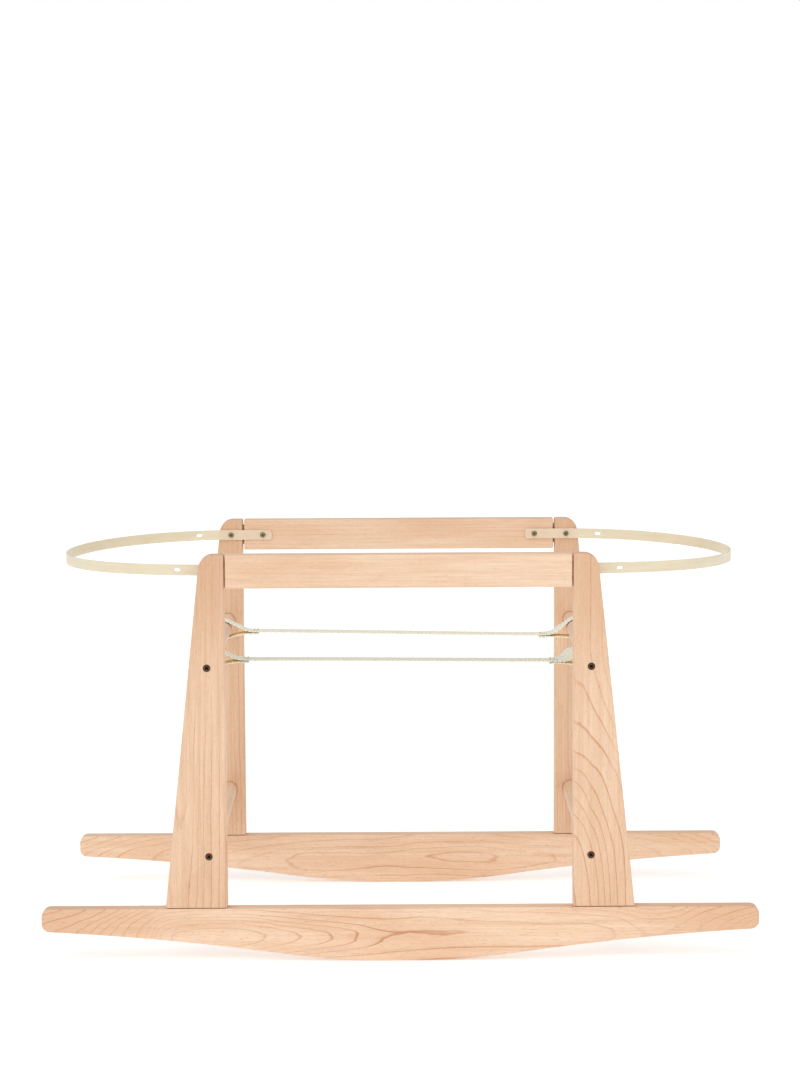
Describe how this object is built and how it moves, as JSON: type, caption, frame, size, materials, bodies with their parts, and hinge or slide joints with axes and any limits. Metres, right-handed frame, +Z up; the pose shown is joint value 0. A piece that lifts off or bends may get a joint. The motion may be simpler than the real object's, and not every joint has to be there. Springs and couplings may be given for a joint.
{
  "type": "rocking basket stand",
  "caption": "Rigid wooden rocking stand for a Moses basket: two side frames on rockers, round crossbars, webbing straps and nylon hoops at head and foot.",
  "frame": {"origin": "on the floor, under the middle of the stand", "axes": "+X along the rockers towards the right-hand end, +Y from the front frame to the back frame, +Z up"},
  "size_m": [0.86, 0.43, 0.4905],
  "materials": {
    "beech": "clear matt lacquer on pale beech",
    "dowel": "bare beech dowel",
    "ivory_nylon": "translucent ivory nylon strip",
    "webbing": "cream cross-ribbed cotton webbing",
    "dark_bronze": "dark bronze plated steel",
    "zinc": "zinc plated steel"
  },
  "bodies": {
    "stand": {"rocker_front": "beech", "rail_front": "beech", "leg_front_left": "beech", "leg_front_right": "beech", "rocker_back": "beech", "rail_back": "beech", "leg_back_left": "beech", "leg_back_right": "beech", "crossbar_upper_left": "beech", "crossbar_upper_right": "beech", "crossbar_lower_left": "beech", "crossbar_lower_right": "beech", "hoop_left": "ivory_nylon", "hoop_right": "ivory_nylon", "bolt_front_upper_left": "dark_bronze", "insert_front_upper_left": "zinc", "bolt_front_upper_right": "dark_bronze", "insert_front_upper_right": "zinc", "bolt_front_lower_left": "dark_bronze", "insert_front_lower_left": "zinc", "bolt_front_lower_right": "dark_bronze", "insert_front_lower_right": "zinc", "hoop_screw_front_left_leg": "dark_bronze", "hoop_screw_front_left_rail": "dark_bronze", "rail_pin_front_left_lower": "dowel", "rail_pin_front_left_upper": "dowel", "leg_pin_front_left_inner": "dowel", "leg_pin_front_left_outer": "dowel", "hoop_screw_front_right_leg": "dark_bronze", "hoop_screw_front_right_rail": "dark_bronze", "rail_pin_front_right_lower": "dowel", "rail_pin_front_right_upper": "dowel", "leg_pin_front_right_inner": "dowel", "leg_pin_front_right_outer": "dowel", "bolt_back_upper_left": "dark_bronze", "insert_back_upper_left": "zinc", "bolt_back_upper_right": "dark_bronze", "insert_back_upper_right": "zinc", "bolt_back_lower_left": "dark_bronze", "insert_back_lower_left": "zinc", "bolt_back_lower_right": "dark_bronze", "insert_back_lower_right": "zinc", "hoop_screw_back_left_leg": "dark_bronze", "hoop_screw_back_left_rail": "dark_bronze", "rail_pin_back_left_lower": "dowel", "rail_pin_back_left_upper": "dowel", "leg_pin_back_left_inner": "dowel", "leg_pin_back_left_outer": "dowel", "hoop_screw_back_right_leg": "dark_bronze", "hoop_screw_back_right_rail": "dark_bronze", "rail_pin_back_right_lower": "dowel", "rail_pin_back_right_upper": "dowel", "leg_pin_back_right_inner": "dowel", "leg_pin_back_right_outer": "dowel"},
    "front_strap": {"strap_front": "webbing"},
    "back_strap": {"strap_back": "webbing"}
  },
  "joints": [
    {"name": "front_strap_slide", "type": "slide", "parent": "stand", "child": "front_strap", "axis": [0, 1, 0], "range_m": [-0.05, 0.07]},
    {"name": "back_strap_slide", "type": "slide", "parent": "stand", "child": "back_strap", "axis": [0, 1, 0], "range_m": [-0.07, 0.055]}
  ]
}
